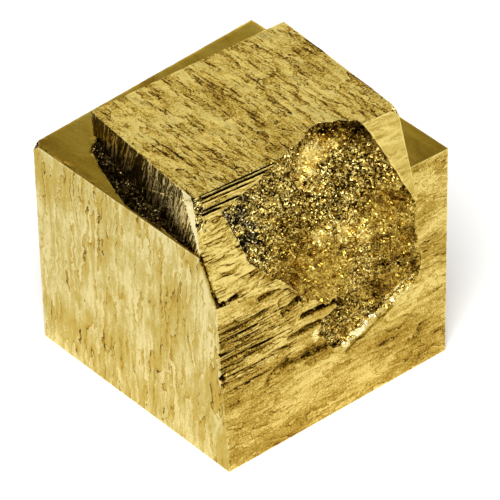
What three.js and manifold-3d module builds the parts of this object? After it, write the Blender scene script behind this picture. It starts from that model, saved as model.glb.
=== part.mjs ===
// Pyrite specimen: two cubic crystals grown through each other into one solid mass.
// Millimetres, +Z up. The origin is under the middle of the mass, on the flat face it rests on.
//
// The front is the upright edge of the main crystal that points to -X -Y. Seen from there, its
// faces are left (towards -X), right (towards -Y), backRight (+X), backLeft (+Y), top and base.
// The second crystal is smaller, tips back, and its faces carry the same names.

import * as THREE from 'three';
import { mergeVertices } from 'three/addons/utils/BufferGeometryUtils.js';
import Module from 'manifold-3d';

// Main crystal. A lean is how many degrees a face turns off its axis, towards the two other axes.
const mainCrystal = {
  width: 32.0,
  depth: 31.7,
  height: 32.5,
  // The height at which the width and the depth are measured, because the sides lean.
  middle: 14.4,
  leans: {
    left: [-3.0, -1.5],
    right: [-4.5, 0.0],
    top: [2.0, 1.0],
    backRight: [2.5, -0.5],
    backLeft: [0.0, 3.5],
    base: [0.0, 0.0],
  },
};

// Second crystal. The turn is one rotation vector in degrees, and reach is from centre to face.
const secondCrystal = {
  centre: [0, 0, 19.2],
  turn: [-15.0, 3.0, -8.5],
  reach: { left: 14.2, right: 18.5, top: 17.8, backRight: 14.3, backLeft: 6.3, base: 14.0 },
  leans: {
    left: [1.5, 3.5],
    right: [-0.5, 3.5],
    top: [-1.0, -3.5],
    backRight: [-1.5, 2.5],
    backLeft: [-2.5, -0.5],
    base: [0.0, 0.0],
  },
};

// Lower outline of the second crystal where it stands out of the main crystal's right face, [x, z].
const growthLimit = [
  [-20.0, 27.4], [-15.4, 27.3], [-9.8, 26.4], [-6.6, 25.7], [-5.2, 23.6], [-4.6, 21.6],
  [-2.0, 20.6], [-0.3, 18.9], [4.0, 18.2], [14.0, 18.6], [20.0, 48.0], [-20.0, 48.0],
];

// Broken patch on the right side: its rim, [x, z], and the hollow floor's y over a grid of places.
const fracture = {
  rim: [
    [-3.2, 42.0], [-3.0, 40.2], [-11.8, 37.2], [-10.3, 30.2], [-6.6, 25.8], [-5.2, 23.6],
    [-4.5, 20.6], [-3.7, 19.2], [-3.4, 18.3], [0.6, 17.9], [0.8, 17.1], [-1.3, 16.0],
    [-1.4, 13.6], [0.3, 10.6], [2.2, 10.2], [6.0, 12.1],
    [11.5, 14.1], [12.6, 14.8], [13.5, 18.4], [13.5, 23.0], [12.4, 27.4], [10.9, 28.8],
    [9.5, 33.0], [8.6, 36.0], [7.0, 40.2], [6.6, 42.0],
  ],
  columns: [-12, -8, -4, 0, 4, 8, 12],
  rows: [42, 39.5, 36, 32, 28, 24, 20, 17, 13, 9],
  floor: [
    [-10.3, -11.0, -11.6, -10.4, -8.6, -13.2, -13.8],
    [-10.9, -11.5, -12.0, -11.2, -9.2, -13.8, -14.7],
    [-11.9, -11.8, -11.7, -11.0, -11.0, -13.4, -16.0],
    [-13.4, -13.3, -13.0, -12.8, -13.2, -15.0, -17.2],
    [-14.9, -15.0, -14.7, -14.6, -15.2, -16.5, -18.2],
    [-16.3, -16.4, -16.2, -16.2, -16.6, -17.2, -17.8],
    [-16.6, -16.6, -16.7, -16.9, -17.0, -17.2, -17.4],
    [-15.0, -14.9, -14.6, -14.9, -15.6, -16.2, -16.6],
    [-15.0, -14.9, -14.6, -14.9, -15.4, -16.0, -16.4],
    [-15.0, -14.9, -14.8, -15.0, -15.4, -16.0, -16.4],
  ],
  cell: 0.9,
  roughness: 0.32,
};

// Rough hollow on the main crystal's top, along the foot of the second crystal, [x, y].
const contactZone = {
  rim: [
    [-10.4, 11.6], [-13.2, 9.2], [-13.9, 7.5], [-15.3, 3.2], [-16.2, -0.4],
    [-15.9, -6.4], [-15.5, -12.2], [-13.0, -12.0], [-9.0, 10.0],
  ],
  depth: 0.35,
  cell: 1.0,
  roughness: 0.18,
  // The stretch of the top that holds the whole rim: its middle and its size, [x, y].
  middle: [-10, 0],
  spread: [20, 30],
};

// Notches in the right face: a wedge-shaped groove from one place to another, [x, z], with how tall
// and deep it is and the share of that size at its two ends. The ridges' notches run in from the
// front edge and fade out, and the breaks lie beside the patch.
const notches = [
  { from: [-17, 23.5], to: [-8.5, 23.2], tall: 0.4, deep: 0.2, ends: [1, 0.05] },
  { from: [-17, 22.3], to: [-10.0, 21.6], tall: 0.4, deep: 0.18, ends: [1, 0.05] },
  { from: [-17, 20.8], to: [-9.5, 20.5], tall: 0.35, deep: 0.15, ends: [1, 0.05] },
  { from: [-17, 19.6], to: [-7.0, 19.3], tall: 0.8, deep: 0.4, ends: [1, 0.05] },
  { from: [-17, 18.3], to: [-9.0, 18.3], tall: 0.35, deep: 0.15, ends: [1, 0.05] },
  { from: [-17, 17.0], to: [-7.2, 17.1], tall: 0.7, deep: 0.4, ends: [1, 0.05] },
  { from: [-17, 14.4], to: [-4.8, 15.7], tall: 0.7, deep: 0.35, ends: [1, 0.05] },
  { from: [-6.9, 20.8], to: [-4.4, 21.4], tall: 1.2, deep: 0.8, ends: [0.25, 1] },
  { from: [-3.8, 18.5], to: [0.5, 18.1], tall: 0.9, deep: 1.2, ends: [0.8, 0.5] },
  { from: [-5.9, 16.2], to: [-1.7, 16.2], tall: 0.8, deep: 0.6, ends: [0.15, 0.9] },
  { from: [-7.9, 12.3], to: [-1.6, 11.9], tall: 0.8, deep: 0.4, ends: [0.1, 0.6] },
];
// How far in front of the face a notch starts to cut.
const notchProud = 0.02;

// Small breaks: where each is, how it turns in degrees, and its size.
const chips = [
  { at: [-15.2, -14.8, 15.6], turn: [20, 45, 10], size: [0.9, 0.9, 1.8] },
  { at: [-15.0, -15.1, 27.1], turn: [15, 12, 40], size: [2.4, 1.6, 0.9] },
];

// Corners that are blunted: which crystal and faces meet there, and how much is lost.
const bluntCorners = [
  { crystal: 'main', faces: ['left', 'backLeft', 'top'], loss: 0.55 },
  { crystal: 'second', faces: ['right', 'backRight', 'top'], loss: 0.5 },
  { crystal: 'second', faces: ['left', 'right', 'top'], loss: 0.25 },
];

// Moves the middle of the finished mass over the origin.
const placement = [0.16, 0.79, 0];

const farAway = 80;
const axes = {
  left: [-1, 0, 0],
  right: [0, -1, 0],
  top: [0, 0, 1],
  backRight: [1, 0, 0],
  backLeft: [0, 1, 0],
  base: [0, 0, -1],
};

const wasm = await Module();
wasm.setup();

function toSolid(geometry) {
  geometry.deleteAttribute('normal');
  geometry.deleteAttribute('uv');
  const merged = mergeVertices(geometry, 1e-5);
  const vertProperties = new Float32Array(merged.attributes.position.array);
  const triVerts = new Uint32Array(merged.index.array);
  return new wasm.Manifold(new wasm.Mesh({ numProp: 3, vertProperties, triVerts }));
}

function toGeometry(solid) {
  const mesh = solid.getMesh();
  const geometry = new THREE.BufferGeometry();
  geometry.setAttribute('position', new THREE.BufferAttribute(mesh.vertProperties, 3));
  geometry.setIndex(new THREE.BufferAttribute(mesh.triVerts, 1));
  geometry.computeVertexNormals();
  return geometry;
}

// A face's outward direction: its axis with its two leans added on the other axes, in order.
function leaningNormal(face, leans) {
  const normal = [...axes[face]];
  const others = [0, 1, 2].filter((axis) => normal[axis] === 0);
  normal[others[0]] = Math.tan(THREE.MathUtils.degToRad(leans[0]));
  normal[others[1]] = Math.tan(THREE.MathUtils.degToRad(leans[1]));
  return new THREE.Vector3(...normal).normalize();
}

function mainFaces({ width, depth, height, middle, leans }) {
  const centres = {
    left: [-width / 2, 0, middle],
    right: [0, -depth / 2, middle],
    top: [0, 0, height],
    backRight: [width / 2, 0, middle],
    backLeft: [0, depth / 2, middle],
    base: [0, 0, 0],
  };
  const faces = {};
  for (const face of Object.keys(axes)) {
    const normal = leaningNormal(face, leans[face]);
    const centre = new THREE.Vector3(...centres[face]);
    faces[face] = new THREE.Plane().setFromNormalAndCoplanarPoint(normal, centre);
  }
  return faces;
}

function secondFaces({ centre, turn, reach, leans }) {
  const turnVector = new THREE.Vector3(...turn);
  const angle = THREE.MathUtils.degToRad(turnVector.length());
  const rotation = new THREE.Quaternion().setFromAxisAngle(turnVector.normalize(), angle);
  const faces = {};
  for (const face of Object.keys(axes)) {
    const normal = leaningNormal(face, leans[face]).applyQuaternion(rotation);
    const point = new THREE.Vector3(...centre).addScaledVector(normal, reach[face]);
    faces[face] = new THREE.Plane().setFromNormalAndCoplanarPoint(normal, point);
  }
  return faces;
}

// The point where three planes meet.
function meeting(p, q, r) {
  const cross = (a, b) => new THREE.Vector3().crossVectors(a.normal, b.normal);
  const point = cross(q, r).multiplyScalar(-p.constant);
  point.addScaledVector(cross(r, p), -q.constant);
  point.addScaledVector(cross(p, q), -r.constant);
  return point.divideScalar(p.normal.dot(cross(q, r)));
}

// A six-sided crystal: a box whose corners move to where its faces' planes meet.
function crystal(faces) {
  const geometry = new THREE.BoxGeometry(2, 2, 2);
  const position = geometry.attributes.position;
  for (let i = 0; i < position.count; i += 1) {
    const acrossX = position.getX(i) < 0 ? faces.left : faces.backRight;
    const acrossY = position.getY(i) < 0 ? faces.right : faces.backLeft;
    const acrossZ = position.getZ(i) < 0 ? faces.base : faces.top;
    position.setXYZ(i, ...meeting(acrossX, acrossY, acrossZ));
  }
  return toSolid(geometry);
}

// All the space on the inner side of a plane, as far as this object needs.
function innerSide(plane) {
  const geometry = new THREE.BoxGeometry(2 * farAway, 2 * farAway, farAway);
  geometry.translate(0, 0, -farAway / 2);
  const up = new THREE.Vector3(0, 0, 1);
  geometry.applyQuaternion(new THREE.Quaternion().setFromUnitVectors(up, plane.normal));
  geometry.translate(...plane.normal.clone().multiplyScalar(-plane.constant));
  return toSolid(geometry);
}

// An outline swept right through the object: along Y from an [x, z] outline, or along Z from [x, y].
function sweptOutline(points, alongY) {
  const shape = new THREE.Shape(points.map(([a, b]) => new THREE.Vector2(a, b)));
  const geometry = new THREE.ExtrudeGeometry(shape, { depth: 2 * farAway, bevelEnabled: false });
  geometry.translate(0, 0, -farAway);
  if (alongY) {
    geometry.rotateX(Math.PI / 2);
  }
  return toSolid(geometry);
}

// A repeatable roughness between -1 and 1 for each place.
function grain(a, b) {
  const value = Math.sin(a * 12.9898 + b * 78.233) * 43758.5453;
  return 2 * (value - Math.floor(value)) - 1;
}

// Where a value falls in an ordered list: the entry before it and the way on to the next.
function placeIn(list, value) {
  const rising = list[1] > list[0];
  let before = 0;
  while (before < list.length - 2 && (rising ? list[before + 1] < value : list[before + 1] > value)) {
    before += 1;
  }
  const way = (value - list[before]) / (list[before + 1] - list[before]);
  return [before, THREE.MathUtils.clamp(way, 0, 1)];
}

function fractureFloor(x, z) {
  const [column, alongX] = placeIn(fracture.columns, x);
  const [row, alongZ] = placeIn(fracture.rows, z);
  const { lerp } = THREE.MathUtils;
  const upper = lerp(fracture.floor[row][column], fracture.floor[row][column + 1], alongX);
  const lower = lerp(fracture.floor[row + 1][column], fracture.floor[row + 1][column + 1], alongX);
  return lerp(upper, lower, alongZ) + fracture.roughness * grain(x, z);
}

// What the broken patch takes away: everything in front of its rough floor, inside its rim.
function fractureCutter() {
  const [left, right] = [fracture.columns.at(0) - 1, fracture.columns.at(-1) + 1];
  const [high, low] = [fracture.rows.at(0) + 1, fracture.rows.at(-1)];
  const across = Math.round((right - left) / fracture.cell);
  const up = Math.round((high - low) / fracture.cell);
  const geometry = new THREE.BoxGeometry(right - left, 2, high - low, across, 1, up);
  geometry.translate((left + right) / 2, 0, (low + high) / 2);
  const position = geometry.attributes.position;
  for (let i = 0; i < position.count; i += 1) {
    const floor = fractureFloor(position.getX(i), position.getZ(i));
    position.setY(i, position.getY(i) > 0 ? floor : -farAway);
  }
  return toSolid(geometry).intersect(sweptOutline(fracture.rim, true));
}

// What the rough contact zone takes away from the main crystal's top.
function contactCutter(top) {
  const { cell, depth, roughness, middle, spread } = contactZone;
  const [across, along] = spread.map((length) => Math.round(length / cell));
  const geometry = new THREE.BoxGeometry(...spread, 2, across, along, 1);
  geometry.translate(...middle, 0);
  const position = geometry.attributes.position;
  for (let i = 0; i < position.count; i += 1) {
    const [x, y] = [position.getX(i), position.getY(i)];
    const surface = -(top.constant + top.normal.x * x + top.normal.y * y) / top.normal.z;
    const floor = surface - depth + roughness * grain(x, y);
    position.setZ(i, position.getZ(i) < 0 ? floor : farAway);
  }
  return toSolid(geometry).intersect(sweptOutline(contactZone.rim, false));
}

// A wedge-shaped groove in the right face, from one place to another.
function notchCutter({ from, to, tall, deep, ends }, right) {
  const profile = new THREE.Shape();
  profile.moveTo(0, tall / 2);
  profile.lineTo(0, -tall / 2);
  profile.lineTo(deep, -tall / 4);
  const geometry = new THREE.ExtrudeGeometry(profile, { depth: 1, bevelEnabled: false });
  const position = geometry.attributes.position;
  const { lerp } = THREE.MathUtils;
  for (let i = 0; i < position.count; i += 1) {
    const [inward, height, way] = [position.getX(i), position.getY(i), position.getZ(i)];
    const share = lerp(ends[0], ends[1], way);
    const x = lerp(from[0], to[0], way);
    const surface = -(right.constant + right.normal.x * x) / right.normal.y;
    const z = lerp(from[1], to[1], way) + height * share;
    position.setXYZ(i, x, surface - notchProud + inward * share, z);
  }
  return toSolid(geometry);
}

function chipCutter({ at, turn, size }) {
  const geometry = new THREE.BoxGeometry(...size);
  const [x, y, z] = turn.map(THREE.MathUtils.degToRad);
  geometry.applyQuaternion(new THREE.Quaternion().setFromEuler(new THREE.Euler(x, y, z)));
  geometry.translate(...at);
  return toSolid(geometry);
}

// The inner side of a small plane across a corner, set back from its tip by the loss.
function cornerTrim({ crystal: name, faces, loss }, facesOf) {
  const planes = faces.map((face) => facesOf[name][face]);
  const outward = new THREE.Vector3();
  planes.forEach((plane) => outward.add(plane.normal));
  outward.normalize();
  const point = meeting(...planes).addScaledVector(outward, -loss);
  return innerSide(new THREE.Plane().setFromNormalAndCoplanarPoint(outward, point));
}

function crystalMass() {
  const main = mainFaces(mainCrystal);
  const second = secondFaces(secondCrystal);
  let lower = crystal(main).intersect(innerSide(second.right));
  lower = lower.subtract(contactCutter(main.top));
  for (const notch of notches) {
    lower = lower.subtract(notchCutter(notch, main.right));
  }
  let upper = crystal(second).intersect(innerSide(main.left));
  upper = upper.intersect(sweptOutline(growthLimit, true));
  let mass = lower.add(upper).subtract(fractureCutter());
  for (const chip of chips) {
    mass = mass.subtract(chipCutter(chip));
  }
  for (const corner of bluntCorners) {
    mass = mass.intersect(cornerTrim(corner, { main, second }));
  }
  return mass;
}

const pyrite = new THREE.MeshStandardMaterial({ color: 0xd2b774, roughness: 0.38, metalness: 0.95 });
const crystals = new THREE.Mesh(toGeometry(crystalMass()), pyrite);
crystals.name = 'pyrite_crystals';
crystals.position.set(...placement);

const specimen = new THREE.Group();
specimen.add(crystals);

export default specimen;
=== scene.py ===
import math

import bmesh
import bpy
from mathutils import Matrix, Vector, noise


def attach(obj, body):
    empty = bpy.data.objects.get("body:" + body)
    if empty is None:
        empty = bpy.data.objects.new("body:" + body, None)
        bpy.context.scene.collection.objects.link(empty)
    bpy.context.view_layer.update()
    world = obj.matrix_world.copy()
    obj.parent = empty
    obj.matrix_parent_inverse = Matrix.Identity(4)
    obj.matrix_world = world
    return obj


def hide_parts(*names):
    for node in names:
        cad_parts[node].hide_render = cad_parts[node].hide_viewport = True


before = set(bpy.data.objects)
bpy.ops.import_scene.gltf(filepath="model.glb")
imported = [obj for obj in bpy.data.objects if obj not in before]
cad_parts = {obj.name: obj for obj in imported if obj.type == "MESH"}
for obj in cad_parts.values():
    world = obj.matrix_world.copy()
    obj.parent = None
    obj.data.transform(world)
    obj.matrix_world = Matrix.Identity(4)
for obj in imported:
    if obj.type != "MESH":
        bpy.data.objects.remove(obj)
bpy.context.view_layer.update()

mm = 0.001
noise.seed_set(4)   # or the marks wander another way in each run


def fromScreen(red, green, blue):
    # the colour a shader needs for a colour as it looks on a screen, 0 to 255
    parts = [c / 255 for c in (red, green, blue)]
    return [p / 12.92 if p <= 0.04045 else ((p + 0.055) / 1.055) ** 2.4 for p in parts]


def smoothStep(low, high, value):
    way = min(max((value - low) / (high - low), 0), 1)
    return way * way * (3 - 2 * way)


# ---- the growth faces, lengths in mm and colours as they look on a screen
# looks: the way a face looks, runs: the way its lines run
# hillocks: height, length, width and number of levels; ridges: height and width of fine ridges
# streaks, lines, clouds and grains: how strongly each pattern shows in the colour; the lines are
# painted shade on the growth steps
# ridged: how many thin straight creases there are
# long, wide: how drawn out a streak is, and its width; dent: depth of the bump
# steps: how drawn out the growth steps are, their size and number; bend: how far they wander
hiddenFace = {
    "hillocks": (0.06, 6.0, 1.4, 3), "ridges": (0.02, 0.5),
    "streaks": 0.6, "lines": 0.4, "clouds": 0.8, "grains": 0.35, "ridged": 0.3,
    "long": 9.0, "wide": 0.6, "steps": (6.0, 2.2, 5), "bend": 0.7, "dent": 0.05, "rough": 0.36,
    "crevice": (110, 80, 22), "deep": (168, 136, 54),
    "middle": (204, 176, 90), "pale": (232, 210, 136),
}
growthFaces = {
    "mainLeft": {
        "looks": (-1.0, -0.05, -0.03), "runs": (0.02, 0.09, -1.0),
        "hillocks": (0.05, 6.0, 1.4, 3), "ridges": (0.012, 0.5),
        "streaks": 0.6, "lines": 0.8, "clouds": 0.8, "grains": 0.5, "ridged": 0.3,
        "long": 13.0, "wide": 0.65, "steps": (9.0, 2.2, 6), "bend": 1.0, "dent": 0.05, "rough": 0.36,
        "crevice": (140, 108, 36), "deep": (182, 154, 68),
        "middle": (189, 173, 104), "pale": (218, 206, 152),
    },
    "mainRight": {
        "looks": (-0.08, -1.0, 0.0), "runs": (1.0, -0.08, -0.03),
        "hillocks": (0.05, 7.0, 1.8, 2), "ridges": (0.02, 0.6),
        "streaks": 0.4, "lines": 0.6, "clouds": 1.0, "grains": 0.9, "ridged": 0.15,
        "long": 9.0, "wide": 0.7, "steps": (3.5, 2.2, 6), "bend": 0.9, "dent": 0.05, "rough": 0.36,
        "crevice": (70, 42, 4), "deep": (146, 114, 34),
        "middle": (186, 158, 72), "pale": (228, 206, 124),
    },
    "mainTop": {
        "looks": (0.03, 0.02, 1.0), "runs": (0.0, 1.0, 0.0),
        "hillocks": (0.02, 8.0, 2.0, 2), "ridges": (0.0, 0.5),
        "streaks": 0.6, "lines": 0.0, "clouds": 1.1, "grains": 0.15, "ridged": 0.0,
        "long": 4.0, "wide": 2.0, "steps": (6.0, 3.0, 3), "bend": 0.7, "dent": 0.02, "rough": 0.22,
        "crevice": (52, 32, 6), "deep": (180, 140, 44),
        "middle": (212, 174, 58), "pale": (228, 194, 80),
    },
    "mainBackRight": {**hiddenFace, "looks": (1.0, 0.04, 0.0), "runs": (0.0, 1.0, 0.05)},
    "mainBackLeft": {**hiddenFace, "looks": (0.0, 1.0, 0.06), "runs": (0.06, 0.0, 1.0)},
    "base": {
        **hiddenFace, "looks": (0.0, 0.0, -1.0), "runs": (1.0, 0.0, 0.0),
        "hillocks": (0.0, 6.0, 1.4, 3), "streaks": 0.9, "lines": 0.6, "ridged": 0.0,
        "long": 3.0, "wide": 1.2, "steps": (3.0, 2.4, 5),
        "crevice": (52, 32, 6), "deep": (160, 126, 46), "middle": (208, 178, 90),
    },
    # the second crystal's left face: its dark deep and middle colours are a painted dark reflection
    "secondLeft": {
        "looks": (-0.98, 0.19, 0.08), "runs": (0.07, -0.2, 1.0),
        "hillocks": (0.03, 6.0, 0.8, 2), "ridges": (0.02, 0.4),
        "streaks": 2.2, "lines": 0.2, "clouds": 0.6, "grains": 0.3, "ridged": 0.8,
        "long": 14.0, "wide": 0.3, "steps": (10.0, 1.2, 4), "bend": 0.3, "dent": 0.05, "rough": 0.22,
        "crevice": (16, 9, 2), "deep": (40, 31, 9),
        "middle": (84, 68, 26), "pale": (232, 212, 146),
    },
    "secondRight": {
        "looks": (-0.14, -0.94, 0.32), "runs": (0.99, -0.14, 0.0),
        "hillocks": (0.035, 5.0, 1.0, 3), "ridges": (0.03, 0.5),
        "streaks": 1.1, "lines": 0.6, "clouds": 0.6, "grains": 0.6, "ridged": 0.15,
        "long": 7.0, "wide": 0.5, "steps": (6.0, 1.6, 6), "bend": 0.9, "dent": 0.05, "rough": 0.34,
        "crevice": (70, 42, 4), "deep": (140, 106, 30),
        "middle": (187, 160, 74), "pale": (232, 208, 122),
    },
    "secondTop": {
        "looks": (0.05, 0.2, 0.98), "runs": (-0.1, -0.97, 0.2),
        "hillocks": (0.1, 4.0, 1.2, 4), "ridges": (0.0, 0.5),
        "streaks": 0.6, "lines": 0.7, "clouds": 0.5, "grains": 1.0, "ridged": 0.75,
        "long": 6.0, "wide": 0.75, "steps": (6.5, 1.7, 5), "bend": 1.3, "dent": 0.09, "rough": 0.36,
        "crevice": (84, 54, 12), "deep": (150, 112, 30),
        "middle": (212, 180, 78), "pale": (242, 220, 130),
    },
    "secondBackRight": {
        **hiddenFace, "looks": (0.99, -0.17, 0.02), "runs": (0.16, 0.96, -0.2),
        "hillocks": (0.06, 5.0, 1.2, 3),
    },
    "secondBackLeft": {
        **hiddenFace, "looks": (0.1, 0.96, -0.27), "runs": (1.0, -0.1, 0.0),
        "hillocks": (0.05, 5.0, 1.0, 3),
    },
}

# ---- where the surface isn't a growth face: size and slope of the facets and of the grains on
# them, size and height of the noise, and colours from crevice to glint
roughKinds = {
    "broken": {
        "facets": (1.5, 0.26), "grains": (0.5, 0.3), "noise": (2.6, 0.35),
        "crevice": (26, 15, 3), "deep": (82, 56, 14), "middle": (156, 123, 44),
        "pale": (212, 182, 80), "glint": (255, 238, 156),
        "rough": 0.34, "contrast": 1.35, "shift": 0.0,
    },
    # near-black colours: painted shade in the crease at the foot of the second crystal
    "contact": {
        "facets": (0.9, 0.25), "grains": (0.45, 0.35), "noise": (1.5, 0.2),
        "crevice": (9, 5, 1), "deep": (20, 13, 4), "middle": (40, 28, 10),
        "pale": (92, 74, 34), "glint": (236, 220, 160),
        "rough": 0.34, "contrast": 1.0, "shift": -0.08,
    },
    # near-white colours: a painted highlight on the rim below the patch
    "brightRim": {
        "facets": (0.9, 0.4), "grains": (0.5, 0.15), "noise": (0.7, 0.15),
        "crevice": (70, 46, 10), "deep": (188, 150, 56), "middle": (236, 210, 116),
        "pale": (248, 230, 150), "glint": (255, 248, 210),
        "rough": 0.25, "contrast": 0.4, "shift": 0.16,
    },
    # near-white colours: a painted highlight on the facet along the second crystal's front edge
    "paleStrip": {
        "facets": (2.0, 0.0), "grains": (1.0, 0.0), "noise": (1.0, 0.0),
        "crevice": (120, 96, 40), "deep": (226, 208, 150), "middle": (240, 228, 176),
        "pale": (250, 240, 200), "glint": (255, 250, 226),
        "rough": 0.45, "contrast": 0.1, "shift": 0.02,
    },
}

# ---- marks along a line through places in mm: how wide and deep they are, and how dark, the darkness being painted shade except on the scratch
marks = [
    # the black seam down the front edge, where the two crystals meet: painted shade in the crevice
    {"path": [(-15.6, -11.8, 33.4), (-15.55, -12.6, 30.8), (-15.4, -13.3, 28.6), (-15.0, -13.7, 27.0)],
     "wide": 0.3, "deep": 0.55, "dark": 1.3, "wander": 0.04},
    {"path": [(-15.1, -13.6, 27.3), (-14.5, -13.8, 27.0), (-12.8, -14.0, 27.3)],
     "wide": 0.36, "deep": 0.35, "dark": 1.3, "wander": 0.1},
    # the arc and the shadowed steps under the ridges
    {"path": [(-9.0, -14.35, 10.8), (-8.4, -14.4, 12.0), (-7.0, -14.5, 12.6)],
     "wide": 0.4, "deep": 0.16, "dark": 0.55, "wander": 0.2},
    {"path": [(-7.0, -14.5, 12.6), (-3.4, -14.8, 12.0), (-0.6, -15.0, 11.7)],
     "wide": 0.6, "deep": 0.2, "dark": 0.5, "wander": 0.3},
    {"path": [(-3.5, -14.8, 10.6), (0.2, -15.1, 10.5)],
     "wide": 0.35, "deep": 0.1, "dark": 0.4, "wander": 0.2},
    # the painted shadow line under the foot of the second crystal
    {"path": [(-9.6, -14.3, 24.9), (-6.0, -14.6, 24.8), (-4.9, -14.7, 23.6)],
     "wide": 0.35, "deep": 0.25, "dark": 0.9, "wander": 0.15},
    # the slope of the bright rim below the patch, and the shadow under it
    {"path": [(2.3, -15.2, 10.3), (6.1, -15.5, 12.2), (11.7, -16.0, 14.3)],
     "wide": 1.0, "deep": 0.6, "dark": 0.0, "wander": 0.3},
    {"path": [(2.2, -15.2, 8.9), (6.4, -15.5, 10.9), (9.0, -15.75, 12.1)],
     "wide": 0.25, "deep": 0.12, "dark": 0.7, "wander": 0.15},
    # a dotted scratch on the second crystal's top
    {"path": [(4.0, 3.9, 36.6), (5.6, 3.1, 36.7), (7.3, 2.1, 36.8)],
     "wide": 0.2, "deep": 0.03, "dark": 0.45, "wander": 0.7},
    # painted shadow in the gap and the hole, and the painted shadow left of the patch
    {"path": [(-3.6, -14.9, 18.5), (0.6, -15.2, 18.1)],
     "wide": 0.5, "deep": 0.4, "dark": 1.0, "wander": 0.15},
    {"path": [(-6.3, -14.6, 20.9), (-4.4, -14.7, 21.5)],
     "wide": 0.55, "deep": 0.3, "dark": 0.85, "wander": 0.15},
    {"path": [(-5.6, -14.7, 16.2), (-1.6, -15.0, 16.2)],
     "wide": 0.5, "deep": 0.2, "dark": 0.85, "wander": 0.2},
]

# ---- stained places: middle, reach in mm, and how dark
stains = [
    {"at": (13.4, 4.4, 36.2), "reach": 3.6, "dark": 0.42},
    {"at": (10.6, -1.6, 37.2), "reach": 2.2, "dark": 0.3},
    {"at": (-12.5, -14.0, 5.0), "reach": 5.0, "dark": 0.16},
    {"at": (-6.0, -14.5, 13.5), "reach": 4.5, "dark": 0.22},
    {"at": (13.5, -16.1, 4.5), "reach": 3.0, "dark": 0.12},
    {"at": (-8.0, -14.4, 17.5), "reach": 5.0, "dark": 0.1},
]

# ---- places in the broken patch: reach in mm, how light (-1 to 1, painted light and shade) and how speckled (0 to 2.5)
patchPlaces = [
    # the bright rim, from left to right, with a painted highlight
    {"at": (4.0, -15.5, 11.0), "reach": 1.6, "light": 0.3, "speckle": 0.25},
    {"at": (6.5, -15.5, 12.5), "reach": 1.4, "light": 0.35, "speckle": 1.0},
    {"at": (10.5, -16.0, 14.0), "reach": 1.8, "light": 0.3, "speckle": 0.25},
    # the front corner of the second crystal
    {"at": (-14.5, -10.0, 39.0), "reach": 1.8, "light": 0.1, "speckle": 2.4},
    # painted shade on the wall at the top of the patch, and a painted highlight on the scoop under it
    {"at": (4.0, -9.0, 39.0), "reach": 1.5, "light": -0.8, "speckle": 0.8},
    {"at": (5.5, -10.5, 38.5), "reach": 1.4, "light": -0.8, "speckle": 0.8},
    {"at": (7.5, -12.0, 38.0), "reach": 1.4, "light": -0.7, "speckle": 0.8},
    {"at": (1.0, -10.5, 35.5), "reach": 1.4, "light": 1.0, "speckle": 0.2},
    {"at": (3.0, -10.0, 36.5), "reach": 1.5, "light": 1.1, "speckle": 0.15},
    {"at": (5.0, -10.5, 37.0), "reach": 1.0, "light": 0.5, "speckle": 0.4},
    # the speckled left part, the calmer middle and the speckled right part
    {"at": (-4.5, -11.5, 34.5), "reach": 2.8, "light": -0.1, "speckle": 1.5},
    {"at": (-9.5, -12.0, 34.0), "reach": 2.4, "light": 0.25, "speckle": 1.45},
    {"at": (-9.0, -13.5, 30.0), "reach": 1.5, "light": 0.3, "speckle": 1.3},
    {"at": (-3.5, -13.0, 30.5), "reach": 3.0, "light": -0.18, "speckle": 0.65},
    {"at": (3.0, -12.0, 32.5), "reach": 3.0, "light": -0.1, "speckle": 1.5},
    {"at": (7.0, -13.5, 33.0), "reach": 2.0, "light": -0.15, "speckle": 1.4},
    # painted highlights on bright lumps
    {"at": (0.0, -14.0, 28.0), "reach": 0.8, "light": 0.8, "speckle": 0.3},
    {"at": (3.0, -14.5, 27.0), "reach": 0.8, "light": 0.8, "speckle": 0.3},
    {"at": (5.0, -15.5, 26.0), "reach": 0.9, "light": 0.6, "speckle": 0.4},
    # the smooth lower parts, and painted shade in the hollow above the rim
    {"at": (-4.5, -14.5, 26.0), "reach": 2.2, "light": 0.05, "speckle": 0.25},
    {"at": (-1.5, -15.0, 23.5), "reach": 3.2, "light": 0.15, "speckle": 0.15},
    {"at": (8.5, -15.5, 28.5), "reach": 3.0, "light": 0.1, "speckle": 0.25},
    {"at": (10.0, -16.5, 22.5), "reach": 2.4, "light": -0.05, "speckle": 0.3},
    {"at": (9.0, -15.5, 16.0), "reach": 2.8, "light": -0.25, "speckle": 0.3},
    {"at": (2.5, -14.5, 15.5), "reach": 1.6, "light": -0.3, "speckle": 0.7},
    {"at": (1.0, -14.5, 13.0), "reach": 2.0, "light": -0.1, "speckle": 0.9},
]

# ---- stretches of another surface along a line: its kind and how wide it is
reworked = [
    {"kind": "brightRim", "path": [(2.4, -15.2, 10.4), (3.6, -15.3, 11.0), (4.9, -15.4, 11.6)],
     "wide": 0.62, "on": ("mainRight", "broken")},
    {"kind": "brightRim", "path": [(6.2, -15.5, 12.3), (7.2, -15.6, 12.8)],
     "wide": 0.4, "on": ("mainRight", "broken")},
    {"kind": "brightRim", "path": [(8.4, -15.7, 13.3), (10.2, -15.8, 14.0), (12.0, -16.0, 14.8)],
     "wide": 0.58, "on": ("mainRight", "broken")},
    {"kind": "brightRim", "path": [(-1.95, -14.9, 14.6), (-1.8, -14.9, 13.7)],
     "wide": 0.4, "on": ("mainRight", "broken")},
    {"kind": "broken", "path": [(-14.5, -9.6, 40.2), (-14.8, -10.4, 37.2)],
     "wide": 1.0, "on": ("secondRight",)},
]

# ---- the narrow facet along the second crystal's front edge, which tapers to nothing
frontEdge = {"path": [(-14.6, -9.6, 40.1), (-15.55, -11.9, 33.2)], "wide": 2.6, "slope": 0.5}

# ---- where the broken patch starts on the main crystal's right face: height and x in mm
patchLeft = [(9.0, 0.4), (13.6, -1.3), (16.0, -1.2), (17.1, 0.9), (18.0, 0.7), (18.3, -3.3),
             (20.6, -4.4), (23.6, -5.1), (25.8, -6.5)]

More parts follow.
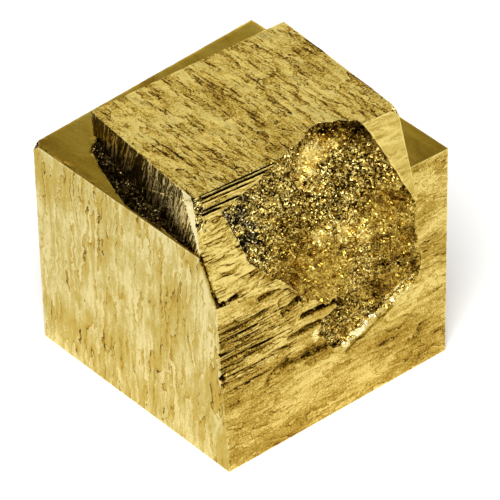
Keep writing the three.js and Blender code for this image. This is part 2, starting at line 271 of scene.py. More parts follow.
# ---- the mesh
crystalMesh = {
    "merge": 0.002,       # mm within which points of the CAD surface are one
    "flatAngle": 0.6,     # degrees up to which its triangles are one flat face
    "cell": 1.72,         # mm between the first cuts, each divided in four afterwards
    "cellStart": 0.37,    # share of a cell at which the first cut lies
    "divide": 3,
    "flatArea": 1.5,      # mm2 above which a flat face is a growth face
    "flatMatch": 0.994,   # how closely a growth face looks its own way
    "sharpAngle": 30,     # degrees
    "wear": 0.07,         # mm lost along the edges
    "edgeShare": 0.4,     # how much of its relief a surface keeps where it meets another
    "snap": 0.01,         # mm within which a cut uses a point that is there already
}

# ---- where the mesh is finer: the face, how many more cuts, and the part in mm that has them
finePlaces = [
    {"face": "secondRight", "cuts": 2, "x": (-20, 0.5), "z": (36, 50)},
    {"face": "secondRight", "cuts": 1, "x": (-20, 0.5)},
    {"face": "mainRight", "cuts": 1, "x": (-20, 2), "z": (9, 27.5)},
    {"face": "mainRight", "cuts": 1, "x": (1, 20), "z": (9, 15)},
    {"face": "mainLeft", "cuts": 1, "y": (-20, -10.5), "z": (26, 50)},
    {"face": "secondTop", "cuts": 1},
    {"face": "secondLeft", "cuts": 1},
]

# ---- how to tell the rough strip on the main crystal's top, and its right face's notches, in mm
contactZone = {"right": -8, "above": 31.2, "looksUp": 0.2}
notchZone = {"front": -13, "below": 25.7}

# ---- steps under the second crystal's upper front edge, in mm: how far below it each one is,
# the x where it ends and how strong it is
# each step has a painted shade line on its riser and a painted highlight under it
terraces = {
    "steps": [
        {"below": 0.02, "end": -2.6, "strong": 1.0},
        {"below": 0.52, "end": -3.4, "strong": 1.0},
        {"below": 1.0, "end": -6.6, "strong": 0.6},
        {"below": 1.95, "end": -8.2, "strong": 0.9},
        {"below": 2.35, "end": -10.8, "strong": 1.0},
    ],
    "riser": 0.15, "tread": 0.34, "deep": 0.16,
    "fade": 1.6,          # mm over which a step dies out at its end
    "bright": 0.3,        # how bright the painted highlight under each painted shade line is
    "plainAbove": 0.05,   # mm from a painted shade line up, and down, to where the face is plain again
    "plainBelow": 0.06,
    "slack": 0.015,       # mm by which a point may miss its cut
}


# ---- modelling
def mergedCopy(node):
    # the CAD surface as a new mesh in mm, with whole flat faces in place of its triangles
    bm = bmesh.new()
    bm.from_mesh(node.data)
    bmesh.ops.scale(bm, vec=(1 / mm,) * 3, verts=bm.verts)
    bmesh.ops.remove_doubles(bm, verts=bm.verts, dist=crystalMesh["merge"])
    bmesh.ops.dissolve_degenerate(bm, dist=crystalMesh["merge"], edges=bm.edges)
    flat = math.radians(crystalMesh["flatAngle"])
    bmesh.ops.dissolve_limit(bm, angle_limit=flat, verts=bm.verts, edges=bm.edges)
    return bm


def patchEdge(height):
    # the x at which the broken patch starts on the main crystal's right face
    for (low, lowX), (high, highX) in zip(patchLeft, patchLeft[1:]):
        if low <= height <= high:
            return lowX + (highX - lowX) * (height - low) / (high - low)
    return -20.0


def kindOf(face):
    # the name of the growth face, or of the rough surface, that this face belongs to
    normal, centre = face.normal, face.calc_center_median()
    best, match = None, 0.0
    for name, look in growthFaces.items():
        dot = normal.dot(Vector(look["looks"]).normalized())
        if dot > match:
            best, match = name, dot
    if match > crystalMesh["flatMatch"] and face.calc_area() > crystalMesh["flatArea"]:
        return best
    high = centre.z > contactZone["above"] and normal.z > contactZone["looksUp"]
    if high and centre.x < contactZone["right"]:
        return "contact"
    low = centre.z < notchZone["below"] and centre.y < notchZone["front"]
    if low and centre.x < patchEdge(centre.z):
        return "mainRight"
    return "broken"


def measurePlanes(bm, kinds, faceKind):
    # each growth face's outward direction and its distance from the origin
    planes = {}
    for name in growthFaces:
        faces = [f for f in bm.faces if f[faceKind] == kinds.index(name)]
        largest = max(faces, key=lambda f: f.calc_area())
        planes[name] = (largest.normal.copy(), largest.normal.dot(largest.calc_center_median()))
    return planes


def nearPath(point, path):
    # distance from a point to a line through some places
    nearest = 1e9
    for start, end in zip(path, path[1:]):
        way = end - start
        share = min(max((point - start).dot(way) / way.length_squared, 0), 1)
        nearest = min(nearest, (point - start - way * share).length)
    return nearest


def wandered(point, size):
    return point + noise.noise_vector(point / 0.9) * size


def finenessOf(point, names):
    # how many more cuts the mesh needs here
    if "broken" in names or "contact" in names:
        return 0
    for place in finePlaces:
        limits = [place.get(axis, (-math.inf, math.inf)) for axis in "xyz"]
        inside = all(low < value < high for value, (low, high) in zip(point, limits))
        if place["face"] in names and inside:
            return place["cuts"]
    return 0


def cutIntoCells(bm, kinds, faceKind):
    # cuts the growth faces along a grid, then divides every cell, the detailed places again
    flat = [kinds.index(name) for name in growthFaces if name != "base"]
    lows = [min(v.co[axis] for v in bm.verts) for axis in range(3)]
    highs = [max(v.co[axis] for v in bm.verts) for axis in range(3)]
    cell = crystalMesh["cell"]
    for axis in range(3):
        faces = [f for f in bm.faces if f[faceKind] in flat and abs(f.normal[axis]) < 0.7]
        geom = list({v for f in faces for v in f.verts})
        geom += list({e for f in faces for e in f.edges}) + faces
        direction = Vector((axis == 0, axis == 1, axis == 2))
        place = math.floor(lows[axis] / cell) * cell + crystalMesh["cellStart"] * cell
        while place < highs[axis]:
            cut = bmesh.ops.bisect_plane(
                bm, geom=geom, plane_co=direction * place, plane_no=direction,
                dist=crystalMesh["snap"],
            )
            geom = cut["geom"]
            place += cell
    many = [f for f in bm.faces if len(f.verts) > 4]
    bmesh.ops.triangulate(bm, faces=many)
    base = kinds.index("base")
    edges = [e for e in bm.edges if any(f[faceKind] != base for f in e.link_faces)]
    bmesh.ops.subdivide_edges(bm, edges=edges, cuts=crystalMesh["divide"], use_grid_fill=True)
    wanted = {1: [], 2: []}
    for edge in bm.edges:
        names = {kinds[f[faceKind]] for f in edge.link_faces}
        cuts = finenessOf((edge.verts[0].co + edge.verts[1].co) / 2, names)
        if cuts and "base" not in names:
            wanted[cuts].append(edge)
    for cuts, edges in wanted.items():
        bmesh.ops.subdivide_edges(bm, edges=edges, cuts=cuts, use_grid_fill=True)


def cutTerraces(bm, kinds, faceKind, planes):
    # edges above, along and below each step under the second crystal's upper front edge
    normal, distance = planes["secondTop"]
    for step in terraces["steps"]:
        top, foot = step["below"], step["below"] + terraces["riser"]
        for below in (top - terraces["plainAbove"], top, foot, foot + terraces["plainBelow"]):
            faces = [f for f in bm.faces if kinds[f[faceKind]] == "secondRight"
                     and f.calc_center_median().x < step["end"]]
            geom = list({v for f in faces for v in f.verts})
            geom += list({e for f in faces for e in f.edges}) + faces
            bmesh.ops.bisect_plane(
                bm, geom=geom, plane_co=normal * (distance - below), plane_no=normal,
                dist=crystalMesh["snap"],
            )


def onFace(co, look):
    # a place measured along and across the lines of a face
    along = Vector(look["runs"]).normalized()
    across = Vector(look["looks"]).cross(along).normalized()
    return co.dot(along), co.dot(across)


# ---- how hillocks and ridges wander and swell: lengths in mm along and across a face's lines
relief = {
    "drift": (5, 3), "swell": (8, 6), "ridgeLong": 6,
    "octaves": (0.8, 2.1, 4),      # how much finer noise adds, how much finer it is, how often
    "stepStart": 0.55,             # share of a level that is flat before the next one rises
}


def growthRelief(co, look, seed):
    # hillocks drawn out along the face's lines, with steps between their levels, and ridges
    height, long, wide, levels = look["hillocks"]
    if not height:
        return 0.0
    u, v = onFace(co, look)
    along, across = relief["drift"]
    drift = noise.noise(Vector((u / along, v / across, seed + 3.1)))
    rise = noise.fractal(Vector((u / long, (v + drift) / wide, seed)), *relief["octaves"]) * levels
    level = math.floor(rise)
    rise = level + smoothStep(relief["stepStart"], 1.0, rise - level)
    along, across = relief["swell"]
    swell = noise.noise(Vector((u / along, v / across, seed + 5.7)))
    ridgeHigh, ridgeWide = look["ridges"]
    place = Vector((u / relief["ridgeLong"], (v + 0.5 * drift) / ridgeWide, seed + 9.4))
    return height * (rise / levels + 0.5 * swell) + ridgeHigh * noise.noise(place)


def facetHeight(co, size, slope):
    # flat facets of about one size, each tilted its own way
    scaled = co / size
    points = noise.voronoi(scaled)[1]
    tilt = noise.cell_vector(points[0] * 13.7) * 2 - Vector((1, 1, 1))
    return (scaled - points[0]).dot(tilt) * slope * size


def roughRelief(co, finish, speckle):
    # facets, grains and noise; where it is speckled the facets are lower and the grains higher
    size, slope = finish["facets"]
    height = facetHeight(co, size, slope) * (1.7 - 0.8 * min(speckle, 1.5))
    size, slope = finish["grains"]
    height += facetHeight(co + Vector((7.7, 3.1, 5.3)), size, slope) * (0.4 + 0.6 * speckle)
    size, slope = finish["noise"]
    return height + noise.noise(co / size) * slope


# ---- the broken patch away from its marked places, and how much that counts beside them
plainPatch = {"speckle": 0.85, "weight": 0.25, "farthest": 2.2}


def patchCharacter(co):
    # how much painted light (above 0) and painted shade (below 0) the broken patch has here, and how
    # speckled it is
    total = plainPatch["weight"]
    light, speckle = 0.0, plainPatch["speckle"] * total
    for place in patchPlaces:
        far = (co - Vector(place["at"])).length / place["reach"]
        if far < plainPatch["farthest"]:
            share = math.exp(-far * far)
            light += share * place["light"]
            speckle += share * place["speckle"]
            total += share
    return light / total, speckle / total


# ---- the strong ridges on the left part of the main crystal's right face, in mm
strongRidges = {
    "fadeRight": (-1.5, -7.5),     # the x at which they start, and at which they are full
    "fadeLow": (11.5, 14.5), "fadeHigh": (23.5, 25.5),
    "slant": 0.05, "height": 0.22,
    "coarse": (14, 0.55), "fine": (9, 0.24),
}


def ridgedReach(co):
    # where the strong ridges are
    reach = smoothStep(*strongRidges["fadeRight"], co.x + 0.7 * noise.noise(co / 1.7))
    reach *= smoothStep(*strongRidges["fadeLow"], co.z)
    return reach * (1 - smoothStep(*strongRidges["fadeHigh"], co.z))


def ridgesRight(co):
    # the strong ridges: height, and painted shade in their grooves
    reach = ridgedReach(co)
    if not reach:
        return 0.0, 0.0
    bend = 0.15 * noise.noise(Vector((co.x / 4, co.z / 2, 4.4)))
    slanted = co.z + strongRidges["slant"] * co.x + bend
    long, wide = strongRidges["coarse"]
    coarse = noise.noise(Vector((co.x / long, slanted / wide, 1.9)))
    long, wide = strongRidges["fine"]
    fine = noise.noise(Vector((co.x / long, slanted / wide, 6.1)))
    value = 0.75 * coarse + 0.45 * fine
    return strongRidges["height"] * reach * value, reach * smoothStep(0.05, -0.42, value)


def terracesUnderEdge(co, planes):
    # the steps under the second crystal's upper front edge: height, and a painted shade line on each
    # riser with a painted highlight under it
    normal, distance = planes["secondTop"]
    riser, tread, slack = terraces["riser"], terraces["tread"], terraces["slack"]
    height, line = 0.0, 0.0
    for step in terraces["steps"]:
        share = step["strong"] * (1 - smoothStep(step["end"] - terraces["fade"], step["end"], co.x))
        way = distance - normal.dot(co) - step["below"]
        if not share or not -tread < way < 2 * riser:
            continue
        rise = 1 + way / tread if way < 0 else 1 - min(way / riser, 1)
        height = min(height, -share * terraces["deep"] * rise)
        # painted shade on the riser, a painted highlight under it
        if -slack < way < riser + slack:
            line = -share
        elif way > 0 and not line:
            line = share * terraces["bright"]
    return height, line


def frontFacet(co):
    # how far inside the pale facet along the second crystal's front edge a place is
    path = [Vector(place) for place in frontEdge["path"]]
    way = (co.z - path[1].z) / (path[0].z - path[1].z)
    wide = frontEdge["wide"] * min(max(way, 0), 1)
    return wide - nearPath(co, path)


def growthMove(co, name, planes, number):
    # how far a place on a growth face moves out, how dark it is (painted shade, and the stains), how
    # creased and how calm
    look = growthFaces[name]
    ridged, calm = look["ridged"], 0.0
    normal, distance = planes[name]
    move = growthRelief(co, look, number * 7.3)
    # painted shade where the surface sinks below its face
    dark = smoothStep(0.06, 0.4, distance - normal.dot(co))
    if name == "mainRight":
        high, shade = ridgesRight(co)
        move += high
        # painted shade in the grooves of the strong ridges
        dark = max(dark, 0.9 * shade)
        ridged += ridgedReach(co)
    if name == "secondLeft":
        move -= frontEdge["slope"] * max(frontFacet(co), 0)
        # painted shade, darker towards the back of this face
        dark = max(dark, 0.12 + 0.4 * smoothStep(-5.0, 1.0, co.y))
    if name == "secondRight":
        move += terracesUnderEdge(co, planes)[0]
        ridged += 0.65 * smoothStep(-5.0, -10.0, co.x)
        calm = smoothStep(5.0, 9.0, co.x)
    for stain in stains:
        far = (co - Vector(stain["at"])).length / stain["reach"]
        if far < 1:
            blot = 0.5 + 0.9 * noise.noise(co / 1.3) + 0.5 * noise.noise(co / 0.5)
            dark = max(dark, stain["dark"] * (1 - far * far) * min(max(blot, 0), 1.3))
    return move, dark, ridged, calm


def carve(co):
    # how far the marks push a place in, and how dark they make it: painted shade on all but the
    # scratch
    push, dark = 0.0, 0.0
    for mark in marks:
        path = mark["vectors"]
        if (co - path[0]).length > mark["span"]:
            continue
        far = nearPath(wandered(co, mark["wander"]), path) / mark["wide"]
        push = max(push, mark["deep"] * (1 - smoothStep(0.0, 1.2, far)))
        dark = max(dark, mark["dark"] * (1 - smoothStep(0.5, 1.5, far)))
    return push, dark


def shapeSurface(bm, kinds, faceKind, layers, planes):
    # moves every point along the directions of the surfaces that meet in it, and paints it, painted
    # shade and painted highlights included
    stainsAndShading, lining, stepShading = layers
    for mark in marks:
        mark["vectors"] = [Vector(place) for place in mark["path"]]
        mark["span"] = max((v - mark["vectors"][0]).length for v in mark["vectors"]) + 1.5
    moves = {}
    for vert in bm.verts:
        found = list(dict.fromkeys(face[faceKind] for face in vert.link_faces))
        names = [kinds[number] for number in found]
        share = 1.0 if len(found) == 1 else crystalMesh["edgeShare"]
        move, darkest, ridgedMost, calmMost, edge = Vector(), 0.0, 0.0, 0.0, 0.0
        light, speckle = patchCharacter(vert.co)
        for number in found:
            name = kinds[number]
            if name in growthFaces:
                height, dark, ridged, calm = growthMove(vert.co, name, planes, number)
                move += planes[name][0] * height
                darkest = max(darkest, dark)
                ridgedMost, calmMost = max(ridgedMost, ridged), max(calmMost, calm)
                if len(found) > 1:
                    worn = 0.4 + 0.9 * abs(noise.noise(vert.co / 0.8))
                    move -= planes[name][0] * crystalMesh["wear"] * worn
                    # the edge gets a painted highlight as strong as its wear
                    edge = min(worn, 1.0)
            else:
                move += vert.normal * roughRelief(vert.co, roughKinds[name], speckle)
        push, dark = carve(vert.co)
        move = move * share - vert.normal * push
        if "base" in names:
            move = Vector()
        moves[vert] = move
        # red: painted shade in recesses, grooves and marks, and the stains; green: speckle; blue:
        # painted light and shade on the broken patch
        vert[stainsAndShading] = (max(darkest, dark), speckle, 0.5 + 0.5 * light, 1.0)
        # red: ridged, green: calm, blue: a painted highlight along the edges
        vert[lining] = (ridgedMost, calmMost, edge, 1.0)
        # painted shade on the steps' risers, painted highlights under them
        vert[stepShading] = terracesUnderEdge(vert.co, planes)[1] if "secondRight" in names else 0.0
    for vert, move in moves.items():
        vert.co += move


def reworkSurface(bm, kinds, faceKind):
    # gives the faces near each stretch their other kind, with a ragged border
    for stretch in reworked:
        path = [Vector(place) for place in stretch["path"]]
        number = kinds.index(stretch["kind"])
        for face in bm.faces:
            if kinds[face[faceKind]] not in stretch["on"]:
                continue
            centre = face.calc_center_median()
            wide = stretch["wide"] * (1 + 0.8 * noise.noise(centre / 0.6))
            if nearPath(centre, path) < wide:
                face[faceKind] = number


def makeCrystals():
    bm = mergedCopy(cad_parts["pyrite_crystals"])
    kinds = list(growthFaces) + list(roughKinds)
    faceKind = bm.faces.layers.int.new("kind")
    layers = (
        bm.verts.layers.float_color.new("stainsAndShading"),
        bm.verts.layers.float_color.new("lining"),
        bm.verts.layers.float.new("stepShading"),
    )
    for face in bm.faces:
        face[faceKind] = kinds.index(kindOf(face))
    planes = measurePlanes(bm, kinds, faceKind)
    cutIntoCells(bm, kinds, faceKind)
    cutTerraces(bm, kinds, faceKind, planes)
    reworkSurface(bm, kinds, faceKind)
    bm.normal_update()
    shapeSurface(bm, kinds, faceKind, layers, planes)
    bm.normal_update()
    sharp = math.radians(crystalMesh["sharpAngle"])
    for edge in bm.edges:
        joined = {f[faceKind] for f in edge.link_faces}
        edge.smooth = len(joined) == 1 or edge.calc_face_angle(0) < sharp
    for face in bm.faces:
        face.material_index = face[faceKind]
        # the pale facet takes the painted highlight colours
        if kinds[face[faceKind]] == "secondLeft" and frontFacet(face.calc_center_median()) > 0:
            face.material_index = kinds.index("paleStrip")
        face.smooth = kinds[face[faceKind]] in growthFaces
    bmesh.ops.scale(bm, vec=(mm,) * 3, verts=bm.verts)
    mesh = bpy.data.meshes.new("pyriteCrystals")
    bm.to_mesh(mesh)
    bm.free()
    piece = bpy.data.objects.new("pyriteCrystals", mesh)
    bpy.context.scene.collection.objects.link(piece)
    return piece, kinds


# ---- materials
def addNode(tree, kind, settings=(), values=()):
    node = tree.nodes.new(kind)
    for name, value in dict(settings).items():
        setattr(node, name, value)
    for name, value in dict(values).items():
        node.inputs[name].default_value = value
    return node


def addMath(tree, operation, *values, clamp=False):
    node = addNode(tree, "ShaderNodeMath", {"operation": operation, "use_clamp": clamp})
    for socket, value in zip(node.inputs, values):
        if isinstance(value, (int, float)):
            socket.default_value = value
        else:
            tree.links.new(value, socket)
    return node.outputs[0]


def addShares(tree, start, patterns):
    # the start value plus every pattern times its weight
    total = start
    for pattern, weight in patterns:
        total = addMath(tree, "MULTIPLY_ADD", pattern, weight, total)
    return total


def addWaves(tree, start, patterns):
    # the same, with every pattern counted from its middle, so that the average stays
    return addShares(tree, start - sum(weight * 0.5 for pattern, weight in patterns), patterns)


def addRamp(tree, factor, stops):
    node = addNode(tree, "ShaderNodeValToRGB")
    ramp = node.color_ramp
    while len(ramp.elements) < len(stops):
        ramp.elements.new(0.5)
    for element, (place, colour) in zip(ramp.elements, stops):
        element.position = place
        element.color = (*colour, 1)
    tree.links.new(factor, node.inputs["Fac"])
    return node.outputs["Color"]


def addNoise(tree, vector, size, detail=4.0, rough=0.55, distort=0.0):
    values = {"Scale": 1 / size, "Detail": detail, "Roughness": rough, "Distortion": distort}
    node = addNode(tree, "ShaderNodeTexNoise", values=values)
    tree.links.new(vector, node.inputs["Vector"])
    return node.outputs["Fac"]


def newMaterial(name, rough):
    material = bpy.data.materials.new(name)
    material.use_nodes = True
    tree = material.node_tree
    shader = tree.nodes["Principled BSDF"]
    shader.inputs["Metallic"].default_value = 1.0
    shader.inputs["Roughness"].default_value = rough
    shader.inputs["Specular Tint"].default_value = (1.0, 0.87, 0.6, 1)   # the sheen at a low angle
    return material, tree, shader


def placeInMm(tree):
    place = addNode(tree, "ShaderNodeTexCoord").outputs["Object"]
    mapping = addNode(tree, "ShaderNodeMapping", {"vector_type": "TEXTURE"})
    mapping.inputs["Scale"].default_value = (mm, mm, mm)
    tree.links.new(place, mapping.inputs["Vector"])
    return mapping.outputs["Vector"]


def turnedPlace(tree, place, look, stretch):
    # places in mm measured along the lines of a face, squeezed along them
    along = Vector(look["runs"]).normalized()
    outward = Vector(look["looks"]).normalized()
    across = outward.cross(along).normalized()
    turn = Matrix((along, across, along.cross(across))).transposed().to_euler()
    mapping = addNode(tree, "ShaderNodeMapping", {"vector_type": "TEXTURE"})
    mapping.inputs["Rotation"].default_value = turn
    mapping.inputs["Scale"].default_value = (stretch, 1, 1)
    tree.links.new(place, mapping.inputs["Vector"])
    return mapping.outputs["Vector"]


def bentPlace(tree, place, size, amount):
    # makes straight lines wander
    bend = addNode(tree, "ShaderNodeTexNoise", values={"Scale": 1 / size, "Detail": 2.0})
    tree.links.new(place, bend.inputs["Vector"])
    centred = addNode(tree, "ShaderNodeVectorMath", {"operation": "SUBTRACT"})
    centred.inputs[1].default_value = (0.5, 0.5, 0.5)
    tree.links.new(bend.outputs["Color"], centred.inputs[0])
    moved = addNode(tree, "ShaderNodeVectorMath", {"operation": "MULTIPLY_ADD"})
    moved.inputs[1].default_value = (amount, amount, amount)
    tree.links.new(centred.outputs[0], moved.inputs[0])
    tree.links.new(place, moved.inputs[2])
    return moved.outputs[0]


def addBump(tree, shader, height, depth):
    # depth in mm for a height of 1
    bump = addNode(tree, "ShaderNodeBump", values={"Distance": depth * mm, "Strength": 1.0})
    tree.links.new(height, bump.inputs["Height"])
    tree.links.new(bump.outputs["Normal"], shader.inputs["Normal"])


def addPaint(tree, name):
    # the three amounts painted on the mesh: dark (painted shade, and the stains), speckled and light
    # (painted light and shade), or ridged, calm and edge (a painted highlight)
    paint = addNode(tree, "ShaderNodeAttribute", {"attribute_name": name})
    split = addNode(tree, "ShaderNodeSeparateColor")
    tree.links.new(paint.outputs["Color"], split.inputs[0])
    return split.outputs


def growthSteps(tree, place, size, levels):
    # the outlines of low steps: a line at each step, the way across each tread, and the height
    pattern = addNoise(tree, place, size, 2, 0.5, 0.2)
    climb = addMath(tree, "MULTIPLY", pattern, levels)
    way = addMath(tree, "FRACT", climb)
    line = addMath(tree, "SUBTRACT", 1.0, addMath(tree, "MULTIPLY", way, 5.0), clamp=True)
    riser = addMath(tree, "MULTIPLY", way, 4.0, clamp=True)
    return line, way, addMath(tree, "ADD", addMath(tree, "SUBTRACT", climb, way), riser)


# ---- patterns of the growth faces: sizes in mm, and how drawn out each one is
growthPattern = {
    "crack": (16, 9, 2),          # the near-black painted shade in the deepest cracks, seams and gaps
    "bend": (3.0, 1.6), "streak": (4, 0.62, 0.3),
    "cloud": 5.0, "cloudLong": 1.8, "grain": 0.22, "gap": 2.4, "gapShare": 0.36,
    "stepBend": 1.2,
    "creaseBend": (2.5, 0.5), "creaseLong": 1.6, "creaseWide": 0.55, "creaseShare": 0.43,
}


def growthLine(tree, plain, look):
    # the growth steps' outlines, with gaps in them, the way across each step, and the height
    stretch, size, levels = look["steps"]
    bent = bentPlace(tree, plain, growthPattern["stepBend"], look["bend"])
    line, way, stair = growthSteps(tree, turnedPlace(tree, bent, look, stretch), size, levels)
    gaps = addNoise(tree, plain, growthPattern["gap"], 3, 0.6)
    shown = addMath(tree, "SUBTRACT", gaps, growthPattern["gapShare"])
    shown = addMath(tree, "MULTIPLY", shown, 4.5, clamp=True)
    return addMath(tree, "MULTIPLY", line, shown), way, stair


def growthCrease(tree, plain, look, ridged):
    # thin straight creases, where the face is ridged
    bent = bentPlace(tree, plain, *growthPattern["creaseBend"])
    fine = turnedPlace(tree, bent, look, growthPattern["creaseLong"] * look["long"])
    waves = addNoise(tree, fine, growthPattern["creaseWide"] * look["wide"], 2, 0.5)
    crease = addMath(tree, "SUBTRACT", growthPattern["creaseShare"], waves)
    return addMath(tree, "MULTIPLY", addMath(tree, "MULTIPLY", crease, 12.0, clamp=True), ridged)


def growthMaterial(kind):
    look = growthFaces[kind]
    material, tree, shader = newMaterial("pyrite_" + kind, look["rough"])
    plain = placeInMm(tree)
    streaky = turnedPlace(tree, bentPlace(tree, plain, *growthPattern["bend"]), look, look["long"])
    streaks = addNoise(tree, streaky, look["wide"], *growthPattern["streak"])
    broad = turnedPlace(tree, plain, look, growthPattern["cloudLong"])
    clouds = addNoise(tree, broad, growthPattern["cloud"], 3, 0.5, 0.4)
    grains = addNoise(tree, plain, growthPattern["grain"], 2, 0.6)
    line, way, stair = growthLine(tree, plain, look)
    dark = addPaint(tree, "stainsAndShading")[0]
    ridged, calm, edge = addPaint(tree, "lining")
    crease = growthCrease(tree, plain, look, ridged)
    # way shades each tread across and line darkens each step: painted shading on the growth steps;
    # crease darkens the creases, a painted shade
    patterns = addWaves(tree, 0.0, [
        (streaks, look["streaks"]), (clouds, look["clouds"]), (grains, look["grains"]),
        (way, 0.3 * look["lines"]),
    ])
    patterns = addShares(tree, patterns, [(line, -0.34 * look["lines"]), (crease, -0.36)])
    left = addShares(tree, 1.0, [(calm, -0.6), (ridged, 0.5)])
    shade = addMath(tree, "MULTIPLY_ADD", patterns, left, 0.5)
    # edge adds a painted highlight along the edges, dark a painted shade with the stains
    shade = addShares(tree, shade, [(ridged, 0.1), (edge, 0.3), (calm, 0.06), (dark, -0.5)])
    # painted shade lines and painted highlights on the steps
    if kind == "secondRight":
        stepShading = addNode(tree, "ShaderNodeAttribute", {"attribute_name": "stepShading"})
        shade = addShares(tree, shade, [(stepShading.outputs["Fac"], 1.0)])
    stops = [(0.0, fromScreen(*growthPattern["crack"]))]
    for place, name in ((0.1, "crevice"), (0.28, "deep"), (0.5, "middle"), (0.72, "pale")):
        stops.append((place, fromScreen(*look[name])))
    tree.links.new(addRamp(tree, shade, stops), shader.inputs["Base Color"])
    rough = addShares(tree, addWaves(tree, look["rough"], [(grains, 0.2)]), [(dark, 0.15)])
    tree.links.new(rough, shader.inputs["Roughness"])
    height = addWaves(tree, 0.5, [(streaks, 1.2), (grains, 0.3)])
    height = addShares(tree, height, [(stair, 0.5 * look["lines"]), (crease, -1.0)])
    addBump(tree, shader, height, look["dent"])
    return material


def facetPattern(tree, place, size, depth):
    # random cells: a shade for each, and the height of a plane tilted its own way
    cells = addNode(tree, "ShaderNodeTexVoronoi", values={"Scale": 1 / size})
    tree.links.new(place, cells.inputs["Vector"])
    local = addNode(tree, "ShaderNodeVectorMath", {"operation": "SUBTRACT"})
    tree.links.new(place, local.inputs[0])
    tree.links.new(cells.outputs["Position"], local.inputs[1])
    tilt = addNode(tree, "ShaderNodeVectorMath", {"operation": "SUBTRACT"})
    tilt.inputs[1].default_value = (0.5, 0.5, 0.5)
    tree.links.new(cells.outputs["Color"], tilt.inputs[0])
    dot = addNode(tree, "ShaderNodeVectorMath", {"operation": "DOT_PRODUCT"})
    tree.links.new(local.outputs[0], dot.inputs[0])
    tree.links.new(tilt.outputs[0], dot.inputs[1])
    split = addNode(tree, "ShaderNodeSeparateColor")
    tree.links.new(cells.outputs["Color"], split.inputs[0])
    return split.outputs[0], addMath(tree, "MULTIPLY", dot.outputs["Value"], depth)


# ---- patterns of the rough surfaces: sizes in mm, and how steep a facet is
roughPattern = {
    "bend": (0.8, 0.5), "patch": 2.2, "large": 0.45, "small": 0.17, "grain": 0.12,
    "slope": 1.6, "calmSlope": 0.05, "speckleSlope": 0.75,
}


def roughMaterial(kind):
    finish = roughKinds[kind]
    material, tree, shader = newMaterial("pyrite_" + kind, finish["rough"])
    place = bentPlace(tree, placeInMm(tree), *roughPattern["bend"])
    dark, speckle, light = addPaint(tree, "stainsAndShading")
    patches = addNoise(tree, place, roughPattern["patch"], 4, 0.6)
    large, largeTilt = facetPattern(tree, place, roughPattern["large"], roughPattern["slope"])
    small, smallTilt = facetPattern(tree, place, roughPattern["small"], roughPattern["slope"])
    grains = addNoise(tree, place, roughPattern["grain"], 2, 0.7)
    mixed = addWaves(tree, 0.0, [(large, 0.22), (small, 0.6), (grains, 1.0)])
    mixed = addMath(tree, "MULTIPLY", mixed, speckle)
    mixed = addMath(tree, "MULTIPLY_ADD", mixed, finish["contrast"], 0.5 + finish["shift"])
    # light is painted light and shade on the patch, dark the marks' painted shade
    broad = addWaves(tree, 0.0, [(patches, 0.6), (light, 0.9)])
    mixed = addMath(tree, "ADD", mixed, addShares(tree, broad, [(dark, -0.6)]))
    stops = []
    names = ((0.12, "crevice"), (0.32, "deep"), (0.5, "middle"), (0.68, "pale"), (0.88, "glint"))
    for position, name in names:
        stops.append((position, fromScreen(*finish[name])))
    tree.links.new(addRamp(tree, mixed, stops), shader.inputs["Base Color"])
    tilts = addMath(tree, "ADD", largeTilt, smallTilt)
    slopes = addShares(tree, roughPattern["calmSlope"], [(speckle, roughPattern["speckleSlope"])])
    tilts = addMath(tree, "MULTIPLY", tilts, slopes)
    addBump(tree, shader, tilts, min(finish["contrast"], 1.0))
    return material


# ---- surroundings
studio = {
    "floor": 0.93, "floorSize": 4.0, "floorRough": 0.9,
    "horizon": 1.0,       # light from low down all round
    "above": 0.26,        # light from high up, between the lamps
    "fade": (0.4, 0.62),  # how high the light starts to fall off, and where it is lowest
    "lamp": {"azimuth": -48.0, "elevation": 58.0, "spread": 34.0, "strength": 3.1},
}
view = {
    "aim": (-1.8, -3.6, 19.6), "distance": 490.0,
    "azimuth": -39.55, "elevation": 44.34, "roll": -2.3,
    "sensor": 36.0, "lens": 309.7, "clip": (0.01, 20),
}


def backward(azimuth, elevation):
    # the direction back to something seen at these angles in degrees
    turn, rise = math.radians(azimuth), math.radians(elevation)
    level = math.cos(rise)
    return Vector((math.sin(turn) * level, -math.cos(turn) * level, math.sin(rise)))


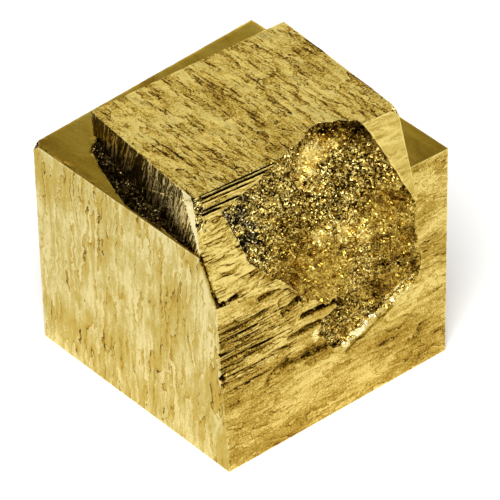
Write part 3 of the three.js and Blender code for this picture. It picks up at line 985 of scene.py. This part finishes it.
def makeFloor():
    bm = bmesh.new()
    bmesh.ops.create_grid(bm, x_segments=1, y_segments=1, size=studio["floorSize"])
    mesh = bpy.data.meshes.new("paleFloor")
    bm.to_mesh(mesh)
    bm.free()
    floor = bpy.data.objects.new("paleFloor", mesh)
    bpy.context.scene.collection.objects.link(floor)
    material = bpy.data.materials.new("palePaper")
    material.use_nodes = True
    shader = material.node_tree.nodes["Principled BSDF"]
    shader.inputs["Base Color"].default_value = (studio["floor"],) * 3 + (1,)
    shader.inputs["Roughness"].default_value = studio["floorRough"]
    shader.inputs["Specular IOR Level"].default_value = 0.0
    mesh.materials.append(material)


def makeLight():
    scene = bpy.context.scene
    scene.view_settings.view_transform = "Standard"
    world = bpy.data.worlds.new("softRoom")
    scene.world = world
    world.use_nodes = True
    tree = world.node_tree
    direction = addNode(tree, "ShaderNodeTexCoord").outputs["Generated"]
    split = addNode(tree, "ShaderNodeSeparateXYZ")
    tree.links.new(direction, split.inputs[0])
    low, high = studio["fade"]
    stops = [(low, (studio["horizon"],) * 3), (high, (studio["above"],) * 3)]
    shade = addRamp(tree, split.outputs["Z"], stops)
    tree.links.new(shade, tree.nodes["Background"].inputs["Color"])
    lamp = studio["lamp"]
    data = bpy.data.lights.new("softLamp", "SUN")
    data.energy, data.angle = lamp["strength"], math.radians(lamp["spread"])
    soft = bpy.data.objects.new("softLamp", data)
    towards = backward(lamp["azimuth"], lamp["elevation"])
    soft.rotation_euler = towards.to_track_quat("Z", "Y").to_euler()
    scene.collection.objects.link(soft)


def makeCamera():
    data = bpy.data.cameras.new("camera")
    data.sensor_width, data.lens = view["sensor"], view["lens"]
    camera = bpy.data.objects.new("camera", data)
    back = backward(view["azimuth"], view["elevation"])
    camera.location = (Vector(view["aim"]) + back * view["distance"]) * mm
    facing = (-back).to_track_quat("-Z", "Y").to_matrix()
    facing = facing @ Matrix.Rotation(math.radians(view["roll"]), 3, "Z")
    camera.rotation_euler = facing.to_euler()
    data.clip_start, data.clip_end = view["clip"]
    bpy.context.scene.collection.objects.link(camera)
    bpy.context.scene.camera = camera


makeCamera()
makeFloor()
makeLight()
print("surroundings ready")

crystals, kinds = makeCrystals()
print("crystals shaped,", len(crystals.data.polygons), "faces")

for kind in kinds:
    makeMaterial = growthMaterial if kind in growthFaces else roughMaterial
    crystals.data.materials.append(makeMaterial(kind))
print("materials ready")

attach(crystals, "root")
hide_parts("pyrite_crystals")
